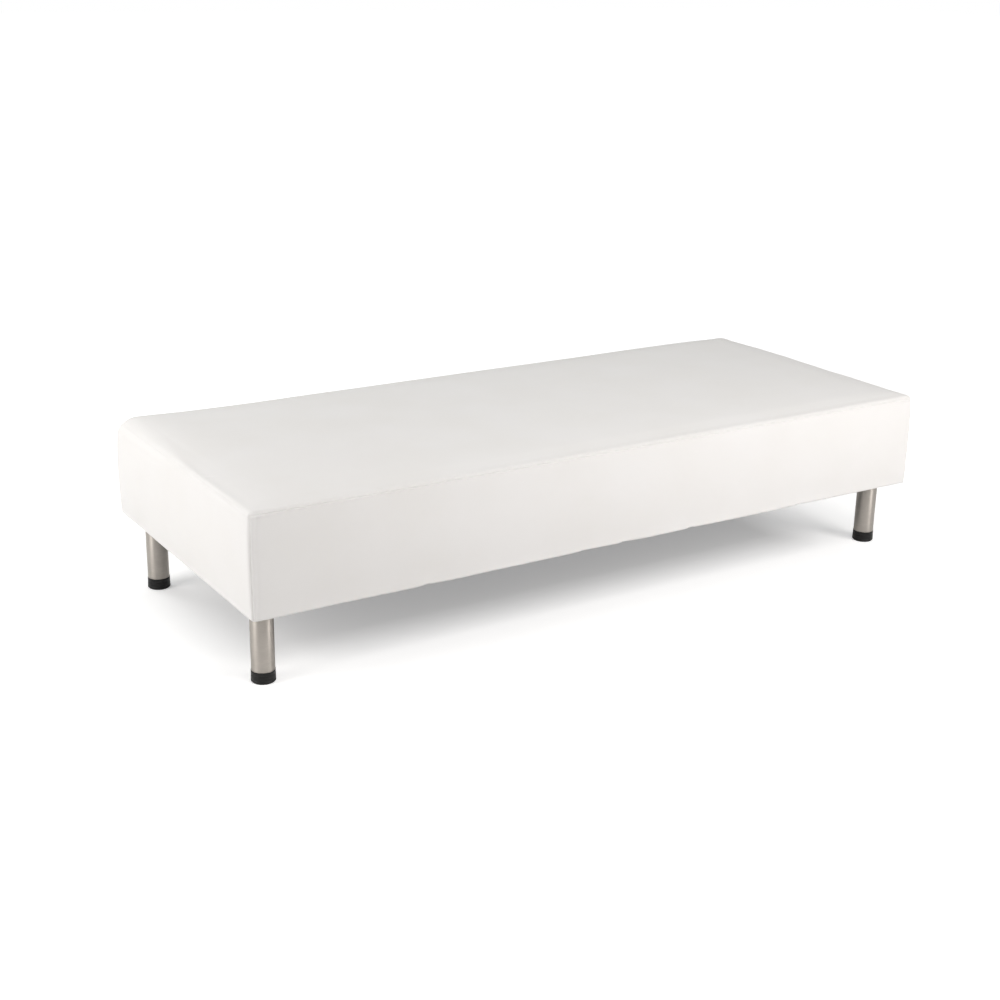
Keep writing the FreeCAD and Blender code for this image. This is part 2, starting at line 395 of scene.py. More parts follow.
class Paint(Nodes):
    """A material: a Principled shader with its own numbers, and nodes for what varies over the surface.
    The scale of a texture is in features per metre."""

    def __init__(self, name, colour, roughness, **sockets):
        self.material = bpy.data.materials.new(name)
        self.material.use_nodes = True
        super().__init__(self.material.node_tree)
        self.shader = self.tree.nodes["Principled BSDF"]
        self.shader.inputs["Base Color"].default_value = (*colour, 1)
        self.shader.inputs["Roughness"].default_value = roughness
        for socket, value in sockets.items():
            self.shader.inputs[socket.replace("_", " ")].default_value = value
        self.place = self.add("ShaderNodeTexCoord").outputs["Object"]

    def stretched(self, x, y, z):
        """The place on the piece, with each axis multiplied."""
        node = self.add("ShaderNodeMapping", {"Vector": self.place})
        node.inputs["Scale"].default_value = (x, y, z)
        return node.outputs["Vector"]

    def noise(self, scale, detail=2.0, place=None, rough=0.5):
        return self.add("ShaderNodeTexNoise", {"Vector": place or self.place},
                        Scale=scale, Detail=detail, Roughness=rough).outputs["Fac"]

    def cells(self, scale, feature="F1", randomness=1.0):
        return self.add("ShaderNodeTexVoronoi", {"Vector": self.place},
                        feature=feature, Scale=scale, Randomness=randomness).outputs["Distance"]

    def set(self, socket, output):
        self.tree.links.new(output, self.shader.inputs[socket])

    def upright(self, vector):
        return self.add("ShaderNodeSeparateXYZ", {"Vector": vector}).outputs["Z"]

    def tint(self, value, *stops):
        self.set("Base Color", self.ramp(value, *stops))

    def roughen(self, value, low, high):
        self.set("Roughness", self.spread(value, low, high))

    def bump(self, *layers):
        """Relief from (height, metres, strength) layers, laid on one after another."""
        links = {}
        for height, distance, strength in layers:
            links["Height"] = height
            node = self.add("ShaderNodeBump", links, Distance=distance, Strength=strength)
            links["Normal"] = node.outputs["Normal"]
        self.set("Normal", links["Normal"])


# Materials
def leatherette():
    """Smooth white vinyl with a fine grain."""
    paint = Paint("white_leatherette", (0.865, 0.855, 0.845), 0.58, Specular_IOR_Level=0.14)
    tone = paint.noise(5.0, 3.0)
    paint.tint(tone, (0.35, (0.857, 0.846, 0.832)), (0.65, (0.873, 0.864, 0.856)))
    paint.roughen(paint.noise(90.0, 3.0), 0.52, 0.64)
    grain = paint.cells(900.0, feature="SMOOTH_F1")
    creases = paint.noise(420.0, 4.0, rough=0.6)
    paint.bump((paint.noise(14.0, 2.0), 0.0012, 0.10), (creases, 0.0002, 0.25), (grain, 0.00015, 0.35))
    return paint.material


def backing_cloth():
    """The knitted inner face of the leatherette."""
    paint = Paint("knitted_backing", (0.78, 0.76, 0.70), 0.9)
    loops = paint.cells(1100.0, randomness=0.3)
    # The loops are darker towards their edges: painted shade between the loops
    paint.tint(loops, (0.0, (0.80, 0.78, 0.72)), (0.8, (0.62, 0.60, 0.55)))
    paint.bump((loops, 0.0003, 0.5))
    return paint.material


def foam():
    paint = Paint("seat_foam_open_cell", (0.90, 0.86, 0.70), 0.95)
    pores = paint.cells(520.0)
    # The pores are darkened: painted shade inside the holes of the open cells
    paint.tint(pores, (0.05, (0.62, 0.57, 0.42)), (0.35, (0.90, 0.86, 0.70)))
    paint.bump((paint.noise(60.0, 3.0), 0.0008, 0.3), (pores, 0.0006, 0.7))
    return paint.material


def wadding():
    paint = Paint("polyester_wadding_fibre", (0.92, 0.92, 0.90), 1.0)
    fibres = paint.noise(260.0, 6.0, place=paint.stretched(1.0, 3.0, 1.0), rough=0.75)
    paint.tint(fibres, (0.3, (0.80, 0.80, 0.78)), (0.6, (0.94, 0.94, 0.92)))
    paint.bump((paint.noise(40.0, 3.0), 0.002, 0.4), (fibres, 0.0012, 0.7))
    return paint.material


def nonwoven():
    """Black spun cloth, pressed in rows of small dots."""
    paint = Paint("black_nonwoven", (0.03, 0.03, 0.033), 0.85)
    dots = paint.cells(420.0, randomness=0.0)
    fibres = paint.noise(700.0, 5.0, place=paint.stretched(1.0, 2.2, 1.0), rough=0.7)
    paint.tint(fibres, (0.3, (0.018, 0.018, 0.020)), (0.7, (0.055, 0.055, 0.060)))
    paint.bump((dots, 0.0003, 0.6), (fibres, 0.0002, 0.5))
    return paint.material


def pine(name, along):
    """Planed softwood whose grain runs along axis 0, 1 or 2."""
    paint = Paint(name, (0.72, 0.52, 0.31), 0.62)
    scale = [9.0, 9.0, 9.0]
    scale[along] = 0.55
    place = paint.stretched(*scale)
    wave = paint.add("ShaderNodeTexWave", {"Vector": place}, Scale=2.4, Distortion=5.5, Detail=3.0)
    wave.inputs["Detail Scale"].default_value = 1.2
    rings = wave.outputs["Fac"]
    fine = paint.noise(26.0, 5.0, place=place, rough=0.65)
    early, middle, late = (0.80, 0.62, 0.40), (0.74, 0.54, 0.32), (0.56, 0.36, 0.18)
    colour = paint.ramp(rings, (0.0, early), (0.55, middle), (1.0, late))
    paint.set("Base Color", paint.mix(paint.spread(fine, 0.0, 0.45), colour, (0.50, 0.33, 0.18)))
    paint.roughen(fine, 0.55, 0.75)
    paint.bump((rings, 0.0004, 0.25), (fine, 0.0003, 0.35))
    return paint.material


PLY = 0.0036


def plywood():
    """Birch veneer on the faces, and light and dark plies of a PLY a pair on the edges."""
    paint = Paint("birch_plywood", (0.74, 0.58, 0.40), 0.6)
    face = paint.noise(14.0, 5.0, place=paint.stretched(0.6, 7.0, 7.0), rough=0.6)
    veneer = paint.ramp(face, (0.35, (0.62, 0.45, 0.28)), (0.65, (0.80, 0.64, 0.44)))
    height = paint.calculate("MULTIPLY", paint.upright(paint.place), 2 * math.pi / PLY)
    plies = paint.calculate("SINE", height)
    dark, light = (0.45, 0.30, 0.17), (0.78, 0.62, 0.42)
    edge = paint.ramp(paint.spread(plies, 0, 1, -1, 1), (0.4, dark), (0.6, light))
    normal = paint.add("ShaderNodeNewGeometry").outputs["Normal"]
    flat = paint.calculate("ABSOLUTE", paint.upright(normal))
    paint.set("Base Color", paint.mix(paint.spread(flat, 0, 1, 0.4, 0.6), edge, veneer))
    paint.bump((face, 0.0003, 0.3))
    return paint.material


def powder_coat():
    paint = Paint("black_powder_coat", (0.035, 0.035, 0.037), 0.5)
    texture = paint.noise(900.0, 3.0)
    paint.roughen(paint.noise(40.0, 3.0), 0.42, 0.58)
    paint.bump((texture, 0.0002, 0.35))
    return paint.material


STEEL_COLOUR = (0.50, 0.465, 0.425)


def brushed_steel():
    """Satin stainless tube, ground round and round, so that it draws each light out along the tube."""
    paint = Paint("brushed_stainless", STEEL_COLOUR, 0.36,
                  Metallic=1.0, Anisotropic=0.85, Anisotropic_Rotation=0.25)
    tangent = paint.add("ShaderNodeTangent", direction_type="RADIAL", axis="Z").outputs["Tangent"]
    paint.set("Tangent", tangent)
    lines = paint.noise(260.0, 4.0, place=paint.stretched(0.25, 0.25, 6.0), rough=0.7)
    broad = paint.noise(40.0, 3.0)
    tone = paint.calculate("ADD", paint.spread(lines, 0.0, 0.6), paint.spread(broad, 0.0, 0.4))
    dark, light = (tuple(c * k for c in STEEL_COLOUR) for k in (0.88, 1.12))
    paint.tint(tone, (0.30, dark), (0.70, light))
    paint.roughen(lines, 0.30, 0.42)
    paint.bump((lines, 0.00005, 0.25))
    return paint.material


def weld_metal():
    paint = Paint("weld_bead", (0.40, 0.38, 0.36), 0.38, Metallic=1.0)
    heat = paint.noise(120.0, 3.0)
    paint.tint(heat, (0.3, (0.30, 0.25, 0.20)), (0.7, (0.50, 0.48, 0.46)))
    paint.bump((paint.noise(500.0, 2.0), 0.0002, 0.4))
    return paint.material


def zinc():
    paint = Paint("zinc_plate", (0.62, 0.63, 0.61), 0.38, Metallic=1.0)
    bloom = paint.noise(220.0, 3.0)
    paint.tint(bloom, (0.3, (0.50, 0.51, 0.48)), (0.7, (0.68, 0.69, 0.67)))
    paint.roughen(bloom, 0.28, 0.48)
    paint.bump((paint.noise(1200.0, 2.0), 0.00008, 0.3))
    return paint.material


def black_plastic():
    paint = Paint("moulded_black_plastic", (0.008, 0.008, 0.008), 0.38, Specular_IOR_Level=0.35)
    paint.roughen(paint.noise(160.0, 4.0), 0.30, 0.46)
    paint.bump((paint.noise(1400.0, 2.0), 0.00008, 0.3), (paint.noise(60.0, 2.0), 0.0004, 0.15))
    return paint.material


LEATHERETTE, BACKING, FOAM, WADDING_CLOTH = leatherette(), backing_cloth(), foam(), wadding()
NONWOVEN, PLYWOOD, POWDER, STEEL = nonwoven(), plywood(), powder_coat(), brushed_steel()
WELD, ZINC, PLASTIC = weld_metal(), zinc(), black_plastic()
PINE = [pine("pine_along_" + axis, n) for n, axis in enumerate("xyz")]


# Upholstery form: a box with rounded edges, crisp at the front and softest at the back left corner.
# A pair of places is where an effect begins and where it is full
SLACK_Y = (-0.12, 0.22)
SLACK_FROM_LEFT_END = (0.24, 0.02)
SLACK_PLAN = (0.036, 0.004)
SLACK_RISE = 0.027
UPPER_SHARE = (0.62, 0.97)
FULL_CORNER = (-0.0045, 0.002, 0.005)
FULL_REACH = 0.16
FULL_Y = (-0.10, 0.30)
FULL_LOW_END = 0.004
FULL_LOW_REACH = 0.12
FULL_LOW_SHARE = (0.5, 0.0)
FAR_ROUND = 0.022
FAR_REACH = 0.10
CROWN_FLATNESS = (6, 2.4)


def softness(points):
    """How slack the top edge's rounding is: 0 where it is crisp, 1 at the back of the left end."""
    return smooth(*SLACK_Y, points[:, 1]) * smooth(*SLACK_FROM_LEFT_END, points[:, 0] + SHARP_X)


def corner_fullness(points):
    """1 at the back left corner, which is stuffed a little fuller than the rest."""
    return hump(points[:, 0] + SHARP_X, FULL_REACH) * smooth(*FULL_Y, points[:, 1])


def rounded(points, inset=0.0):
    """Points of the sharp box moved onto the upholstery form, inset metres inside its outer skin."""
    x, y, z = points.T
    soft = softness(points)
    share = np.clip((z - BOTTOM) / (TOP_EDGE - BOTTOM), 0, 1)
    low = share < 0.5
    upper = smooth(*UPPER_SHARE, share)
    far = hump(x - SHARP_X, FAR_REACH) * hump(y - SHARP_Y, FAR_REACH)
    plan = WALL_ROUND + np.outer(upper * soft, SLACK_PLAN) + (FAR_ROUND * upper * far)[:, None]
    rise = np.where(low, LOW_ROUND, TOP_ROUND + SLACK_RISE * soft)
    radius = np.column_stack([plan, rise])
    centre = np.column_stack([
        np.clip(x, plan[:, 0] - SHARP_X, SHARP_X - plan[:, 0]),
        np.clip(y, plan[:, 1] - SHARP_Y, SHARP_Y - plan[:, 1]),
        np.where(low, np.maximum(z, BOTTOM + rise), np.minimum(z, TOP_EDGE - rise))])
    step = (points - centre) / radius
    length = np.maximum(np.linalg.norm(step, axis=1, keepdims=True), 1e-9)
    away = np.where(length > TINY, step / length, 0)
    moved = centre + away * (radius - inset)
    belly = SIDE_BULGE * 4 * share * (1 - share)
    moved[:, :2] += away[:, :2] * belly[:, None]
    moved += np.outer(corner_fullness(points), FULL_CORNER)
    moved[:, 0] += FULL_LOW_END * hump(x - SHARP_X, FULL_LOW_REACH) * smooth(*FULL_LOW_SHARE, share)
    return moved


def crown(points):
    """Rise of the top over its edges."""
    along = 1 - np.abs(points[:, 0] / SHARP_X) ** CROWN_FLATNESS[0]
    across = 1 - np.abs(points[:, 1] / SHARP_Y) ** CROWN_FLATNESS[1]
    return CROWN * np.clip(along, 0, 1) * np.clip(across, 0, 1)


# Cloth: the cover is blown up between its seams, and the fine skin takes the swelling over
SWELL_CAP = {"top": 0.004, "wall": 0.0025}
CLOTH_STEPS = ((0.04, 0.02),)
CLOTH_SPACING = 0.024
CLOTH_ROWS = 12
CLOTH_FRAMES = 20
SWELL_NEIGHBOURS = 10
SWELL_REACH = 0.016


def simulated(cloth, held):
    """The points of a cloth blown up by an even pressure, with some of them held."""
    cloth.vertex_groups.new(name="held").add([int(i) for i in np.nonzero(held)[0]], 1.0, "REPLACE")
    modifier = cloth.modifiers.new("cloth", "CLOTH")
    modifier.collision_settings.use_collision = False
    settings = modifier.settings
    settings.quality = 5
    settings.mass = 0.3
    settings.tension_stiffness = settings.compression_stiffness = 60
    settings.shear_stiffness = 30
    settings.bending_stiffness = 2
    settings.air_damping = 5
    settings.use_pressure = True
    settings.uniform_pressure_force = 1.0
    settings.effector_weights.gravity = 0
    settings.vertex_group_mass = "held"
    for step in range(1, CLOTH_FRAMES + 1):
        bpy.context.scene.frame_set(step)
    evaluated = cloth.evaluated_get(bpy.context.evaluated_depsgraph_get())
    return np.array([v.co for v in evaluated.data.vertices])


def swelling():
    """A tree of the coarse cover's points and how far each one swells outward."""
    zs = np.array([*np.linspace(BOTTOM, SEAM_LINE, CLOTH_ROWS), TOP_EDGE])
    coarse = Lattice(*plan_lines(CLOTH_STEPS, CLOTH_SPACING), zs, open_below)
    start = rounded(coarse.points)
    cloth = mesh_object("cloth_trial", start, coarse.faces)
    end = simulated(cloth, coarse.ground | (coarse.points[:, 2] == SEAM_LINE))
    bpy.data.objects.remove(cloth)
    bpy.context.scene.frame_set(1)
    out = ((end - start) * normals_of(start, coarse.faces)).sum(1)
    cap = np.where(coarse.ceiling & ~coarse.wall, SWELL_CAP["top"], SWELL_CAP["wall"])
    out = cap * np.tanh(out / cap)
    tree = KDTree(len(start))
    for n, p in enumerate(coarse.points):
        tree.insert(p, n)
    tree.balance()
    return tree, out


def swell(points, blown):
    """How far each point of the sharp box swells, from the nearest points of the blown cover."""
    if blown is None:
        return np.zeros(len(points))
    tree, out = blown
    found = np.zeros(len(points))
    for n, p in enumerate(points):
        near = tree.find_n(p, SWELL_NEIGHBOURS)
        weights = [math.exp(-((d / SWELL_REACH) ** 2)) + 1e-9 for _, _, d in near]
        found[n] = sum(w * out[i] for w, (_, i, _) in zip(weights, near)) / sum(weights)
    return found


def padded_form(lattice, blown, inset=0.0):
    """A lattice's points on the padded form, with its crown and its swelling."""
    form = rounded(lattice.points, inset)
    form[:, 2] += np.where(lattice.ceiling, crown(lattice.points), 0)
    return form + normals_of(form, lattice.faces) * swell(lattice.points, blown)[:, None]


# Sewn detail of the cover. Ridges and grooves are (height, distance from the seam or corner, width)
SEAM_GROOVE = (-0.0008, 0, 0.0015)
SEAM_RIM = (0.0004, -0.0032, 0.0016)
SEAM_ROLL = (0.0004, 0.0038, 0.0028)
RIM_STARTS = (-0.0058, -0.0045)
BAND_STARTS = (-0.001, 0.002)
LEFT_SEAM_EASE = 0.8
CORNER_GROOVE = (-0.0009, 0, 0.0014)
CORNER_ROLL = (0.0006, 0.0055, 0.0028)
CORNER_HOLLOW = (-0.0011, 0.0120, 0.0042)
FOLD_RIDGE = (0.0008, 0.0050, 0.0016)
FOLD_GROOVE = (-0.0007, 0.0085, 0.0018)
CREASE = {"at": (-0.885, -0.114), "angle": math.radians(-46),
          "length": 0.020, "width": 0.0030, "depth": 0.0016}
WAVE = 0.0011
KINKS = (-0.50, -0.09, 0.02, 0.21, 0.55)
KINK = (0.0026, 0, 0.009)
KINK_TAIL = (0.0010, 0.025, 0.025)


def puckers(p, below, from_corner):
    """Small gathers along the top seam, strongest near the corners, and down the corner seams."""
    along = value_noise(p, (0.045, 0.045, 0.09), 3)
    near_corner = 0.3 + 0.7 * np.exp(-from_corner / 0.10)
    gathers = 0.0004 * along * np.exp(-np.abs(below) / 0.020) * near_corner
    up = value_noise(p, (0.10, 0.10, 0.020), 4)
    sag = 1 + 1.4 * smooth(0.27, 0.19, p[:, 2])
    return gathers + 0.00045 * up * np.exp(-from_corner / 0.018) * sag


def corner_pull(lattice, band, below, from_corner):
    """What the corner seams do to the long sides: a roll, a wandering hollow, and a fold under the top."""
    p = lattice.points
    on_long_side = (SHARP_Y - np.abs(p[:, 1]) < TINY) & (lattice.front | ~lattice.left)
    wander = 0.0022 * value_noise(p, (1.0, 1.0, 0.045), 5)
    beside = ridge(from_corner, CORNER_ROLL) + ridge(from_corner - wander, CORNER_HOLLOW)
    fold = smooth(0.055, 0.018, from_corner) * smooth(0.001, 0.005, from_corner)
    return on_long_side * (band * beside + fold * (ridge(below, FOLD_RIDGE) + ridge(below, FOLD_GROOVE)))


def crease(lattice):
    """One short crease across the left end of the top."""
    x, y, _ = lattice.points.T
    dx, dy = x - CREASE["at"][0], y - CREASE["at"][1]
    c, s = math.cos(CREASE["angle"]), math.sin(CREASE["angle"])
    lengthwise, across = dx * c + dy * s, dy * c - dx * s
    mark = hump(lengthwise, CREASE["length"]) * hump(across, CREASE["width"])
    return -CREASE["depth"] * lattice.ceiling * mark


def tailoring(lattice):
    """Relief of the seams, puckers and creases at each point, outward in metres."""
    p = lattice.points
    x, y, z = p.T
    from_end = SHARP_X - np.abs(x)
    from_corner = from_end + (SHARP_Y - np.abs(y))
    below = SEAM_LINE - z
    band = lattice.wall * smooth(*BAND_STARTS, below)
    seam = ridge(below, SEAM_GROOVE) + smooth(*RIM_STARTS, below) * ridge(below, SEAM_RIM)
    relief = lattice.wall * seam * (1 - LEFT_SEAM_EASE * lattice.left)
    relief += band * (ridge(below, SEAM_ROLL) + ridge(from_corner, CORNER_GROOVE))
    relief += band * puckers(p, below, from_corner)
    relief += corner_pull(lattice, band, below, from_corner)
    relief += 0.0006 * value_noise(p, (0.16, 0.16, 0.16), 6) * smooth(0, 0.05, from_corner)
    relief += crease(lattice)
    end_edge = hump(from_end, 0.02) * lattice.ceiling + lattice.left * smooth(0.04, 0.0, below)
    relief += 0.0009 * end_edge * value_noise(p, (1.0, 0.055, 1.0), 7)
    return relief


def hem_wave(points):
    """How the bottom edge rises and falls along the bench, with kinks along the front."""
    x, y, _ = points.T
    s = x + y
    wave = WAVE * value_noise(np.column_stack([s, s * 0, s * 0]), (0.085, 1, 1), 8)
    for kink in KINKS:
        wave += (ridge(x - kink, KINK) + ridge(x - kink, KINK_TAIL)) * (y < 0)
    return wave


def in_hem(side, low, high):
    """Drops what the cover leaves open underneath: the middle, and the holes round the leg plates."""
    if side != "under":
        return True
    x, y = abs(low[0] + high[0]) / 2, abs(low[1] + high[1]) / 2
    in_hole = CUT_X[0] < x < CUT_X[1] and CUT_Y[0] < y < CUT_Y[1]
    return (x > HEM_X or y > HEM_Y) and not in_hole


# The grid of the cover: (distance from the edge, spacing), the middle spacing and lines along details
COVER_STEPS = ((0.004, 0.001), (0.020, 0.002), (0.060, 0.005), (0.110, 0.009))
COVER_SPACING = 0.016
COVER_ROWS = 0.012
SEAM_ROWS = (-0.0032, -0.0022, -0.0013, -0.0006, 0, 0.0006, 0.0013, 0.0022)
CREASE_REACH = 0.030
CREASE_SPACING = 0.0025


def cover_lattice():
    crease_y = CREASE["at"][1]
    crease_lines = np.arange(crease_y - CREASE_REACH, crease_y + CREASE_REACH + 0.001, CREASE_SPACING)
    middle = (BOTTOM + TOP_EDGE) / 2
    seam_lines = SEAM_LINE + np.array(SEAM_ROWS)
    xs = graded(SHARP_X, COVER_STEPS, COVER_SPACING, both(HEM_X, *CUT_X))
    ys = graded(SHARP_Y, COVER_STEPS, COVER_SPACING, [*both(HEM_Y, *CUT_Y), *crease_lines])
    zs = middle + graded((TOP_EDGE - BOTTOM) / 2, COVER_STEPS, COVER_ROWS, seam_lines - middle)
    return Lattice(xs, ys, zs, in_hem)


def cover_form(skin, blown):
    """The cover's points on the padded form, with its sewn detail and its wavy bottom edge."""
    form = padded_form(skin, blown)
    form += normals_of(form, skin.faces) * tailoring(skin)[:, None]
    x, y, _ = skin.points.T
    from_edge = np.minimum(SHARP_X - np.abs(x), SHARP_Y - np.abs(y))
    turned_under = np.where(skin.ground, smooth(0.020, 0.004, from_edge), 1)
    form[:, 2] += hem_wave(skin.points) * smooth(BOTTOM + 0.045, BOTTOM, form[:, 2]) * turned_under
    form[:, 2] = np.maximum(form[:, 2], BOTTOM - 0.002)
    return form


def panel_of(side, centre):
    """The panel of the cover that a quad belongs to, from its side of the box and its centre."""
    if side == "under":
        if SHARP_X - abs(centre[0]) < SHARP_Y - abs(centre[1]):
            return "left" if centre[0] < 0 else "right"
        return "front" if centre[1] < 0 else "back"
    return "top" if centre[2] > SEAM_LINE else side


def build_cover(blown):
    skin = cover_lattice()
    form = cover_form(skin, blown)
    owners = [panel_of(s, skin.points[f].mean(0)) for f, s in zip(skin.faces, skin.sides)]
    for part in ("top", *SIDES):
        faces = [f for f, o in zip(skin.faces, owners) if o == part]
        used = sorted({v for f in faces for v in f})
        renumber = {v: n for n, v in enumerate(used)}
        node = "cover_top_panel" if part == "top" else "cover_band_" + part
        piece = mesh_object("leatherette_" + part, form[used], [[renumber[v] for v in f] for f in faces])
        thicken(piece, COVER, inner_material=1)
        finish_piece(piece, "divan", (LEATHERETTE, BACKING), (node,))


# Padding under the cover
PADDING_STEPS = ((0.02, 0.004), (0.08, 0.012))
PADDING_SPACING = 0.04
PADDING_ROWS = 6
PADDING_TOP_ROWS = (0.020, 0.016)
SHEET_STEPS = ((0.02, 0.004), (0.08, 0.014))
SHEET_SPACING = 0.03
SHEET_ROW_STEPS = ((0.016, 0.004),)
SHEET_ROWS = 0.014
FOAM_CUT = 0.0003


def foam_piece(name, points, faces, node):
    piece = mesh_object(name, points, faces)
    mark_sharp(piece)
    finish_piece(piece, "divan", (FOAM,), (node,))
    return piece


def build_padding(blown):
    """The wadding over the foam block, and the sheets of foam round the frame."""
    xs, ys = plan_lines(PADDING_STEPS, PADDING_SPACING)
    walls = np.linspace(DECK_TOP, TOP_EDGE - PADDING_TOP_ROWS[0], PADDING_ROWS)
    edge = np.linspace(TOP_EDGE - PADDING_TOP_ROWS[1], TOP_EDGE, PADDING_ROWS)
    zs = np.array([*walls, *edge])
    wrap = Lattice(xs, ys, zs, open_below)
    form = padded_form(wrap, blown, COVER + PADDING_GAP)
    piece = mesh_object("wadding", form, wrap.faces)
    thicken(piece, WADDING)
    finish_piece(piece, "divan", (WADDING_CLOTH,), ("wadding_wrap",))
    block = Lattice(xs, ys, zs)
    form = padded_form(block, blown, COVER + PADDING_GAP + LAYER_GAP + WADDING)
    form[:, 2] = np.maximum(form[:, 2], DECK_TOP)
    foam_piece("foam_block", form, block.faces, "seat_foam")
    for side in SIDES:
        build_side_foam(side)


def build_side_foam(side):
    """A sheet of foam from the frame out to the cover, mitred at the corners."""
    node = "side_foam_" + side
    low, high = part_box(node)
    ends = side in ("left", "right")
    sign = -1 if side in ("front", "left") else 1
    along, across = (SHARP_Y, SHARP_X) if ends else (SHARP_X, SHARP_Y)
    frame_along, frame_across = (FRAME_Y, FRAME_X) if ends else (FRAME_X, FRAME_Y)
    heights = (low.z + high.z) / 2 + graded((high.z - low.z) / 2, SHEET_ROW_STEPS, SHEET_ROWS)
    sheet = Lattice(graded(along, SHEET_STEPS, SHEET_SPACING), np.array([0.0, 0.5, 1.0]), heights)
    run, depth, height = sheet.points.T
    outer = np.column_stack([run, np.full(len(run), sign * across), height])
    inner = np.column_stack([run * frame_along / along, np.full(len(run), sign * frame_across), height])
    if ends:
        outer, inner = outer[:, [1, 0, 2]], inner[:, [1, 0, 2]]
    outer = rounded(outer, COVER + FOAM_GAP)
    moved = inner + (outer - inner) * depth[:, None]
    moved[:, 1 if ends else 0] *= 1 - MITRE_GAP / along
    moved[:, 2] = np.clip(moved[:, 2], low.z, high.z)
    moved += FOAM_CUT * depth[:, None] * value_noise(moved, (0.03, 0.03, 0.03), 11)[:, None]
    foam_piece("foam_" + side, moved, sheet.faces, node)


# Dust cover with its staples
DUST_CLOTH = 0.0005
DUST_STEPS = ((0.03, 0.005), (0.1, 0.012))
DUST_SPACING = 0.025
DUST_SAG = 0.0035
DUST_RIPPLE = 0.0012
GATHER = 0.0008
STAPLE_PITCH = 0.062
STAPLE_INSET = 0.009
STAPLE_CLEAR = 0.012
STAPLE_WIRE = 0.00045
STAPLE_HALF = 0.0052
STAPLE_BACK = (0.0046, -0.0002)
STAPLE_LEG = (0.0004, 0.0022)


def in_dust_cover(side, low, high):
    """Keeps one flat sheet with a notch at each corner, round the leg plates."""
    x, y = abs(low[0] + high[0]) / 2, abs(low[1] + high[1]) / 2
    return side == "under" and (x < CUT_X[0] or y < CUT_Y[0])


def build_dust_cover():
    """A thin cloth that sags a little in the middle and gathers between its staples."""
    low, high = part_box("dust_cover")
    xs = graded(high.x, DUST_STEPS, DUST_SPACING, both(CUT_X[0]))
    ys = graded(high.y, DUST_STEPS, DUST_SPACING, both(CUT_Y[0]))
    sheet = Lattice(xs, ys, np.array([low.z, high.z]), in_dust_cover)
    p = sheet.points
    from_end, from_side = high.x - np.abs(p[:, 0]), high.y - np.abs(p[:, 1])
    inward = np.minimum(from_end, from_side)
    slack = smooth(0.03, 0.16, inward)
    p[:, 2] -= DUST_SAG * slack
    p[:, 2] += DUST_RIPPLE * slack * value_noise(p, (0.09, 0.35, 1), 21)
    run = np.where(from_end < from_side, p[:, 1], p[:, 0])
    between_staples = (1 - np.cos(2 * math.pi / STAPLE_PITCH * run)) / 2
    p[:, 2] -= GATHER * np.exp(-inward / 0.03) * smooth(0.0, 0.006, inward) * between_staples
    piece = mesh_object("dust_cloth", p, sheet.faces)
    thicken(piece, DUST_CLOTH)
    finish_piece(piece, "divan", (NONWOVEN,), ("dust_cover",))


def staple_row(reach):
    """Places from -reach to reach, about STAPLE_PITCH apart."""
    return np.arange(-reach, reach + 0.001, 2 * reach / round(2 * reach / STAPLE_PITCH))


def build_staples():
    """Wire staples through the dust cover into the rails."""
    low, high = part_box("dust_cover")
    rng = np.random.default_rng(31)
    places = []
    for x in staple_row(CUT_X[0] - STAPLE_CLEAR):
        places += [(x, side * (high.y - STAPLE_INSET), 0.0) for side in (-1, 1)]
    for y in staple_row(CUT_Y[0] - STAPLE_CLEAR):
        places += [(side * (high.x - STAPLE_INSET), y, math.pi / 2) for side in (-1, 1)]
    half = [(STAPLE_BACK[0], 0, STAPLE_BACK[1])] + [(STAPLE_HALF, 0, z) for z in STAPLE_LEG]
    path = [(-x, y, z) for x, y, z in reversed(half)] + half
    points, faces = [], []
    for x, y, turn in places:
        angle = turn + rng.normal(0, 0.09)
        spot = Vector((x + rng.normal(0, 0.0015), y + rng.normal(0, 0.0012), low.z - 0.0002))
        spin = Matrix.Rotation(angle, 3, "Z")
        new_points, new_faces = wire([spot + spin @ Vector(q) for q in path], STAPLE_WIRE)
        start = len(points)
        points += new_points
        faces += [tuple(start + v for v in f) for f in new_faces]
    piece = mesh_object("dust_cloth_staples", points, faces)
    finish_piece(piece, "divan", (ZINC,))


# Legs, with their heights and the foot's radius from the front left one
TUBE = 0.025
TUBE_WALL = 0.0015
TUBE_EASE = 0.0004
BEAD = 0.0012
BEAD_RIPPLES = 26
TUBE_LOW, TUBE_HIGH = (corner.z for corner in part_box("leg_tube_front_left"))
LIP_LOW, INSERT_TOP = (corner.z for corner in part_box("foot_insert_front_left"))
INSERT_EASE = 0.0003
RIB = 0.001
COLLAR_TOP = 0.0265
COLLAR_WALL = 0.0007
STEM = 0.005
STEM_LOW, STEM_TOP = (corner.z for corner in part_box("foot_stem_front_left"))
STEM_SIDES = 24
PITCH = 0.0015
THREAD = 0.0008
RINGS_PER_TURN = 6
PAD_LOW, PAD_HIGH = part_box("foot_pad_front_left")
PAD_TOP = PAD_HIGH.z
PAD = (PAD_HIGH.x - PAD_LOW.x) / 2
PAD_EASE = 0.0007


def leg_centre(corner):
    low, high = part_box("leg_tube_" + corner)
    return (low.x + high.x) / 2, (low.y + high.y) / 2


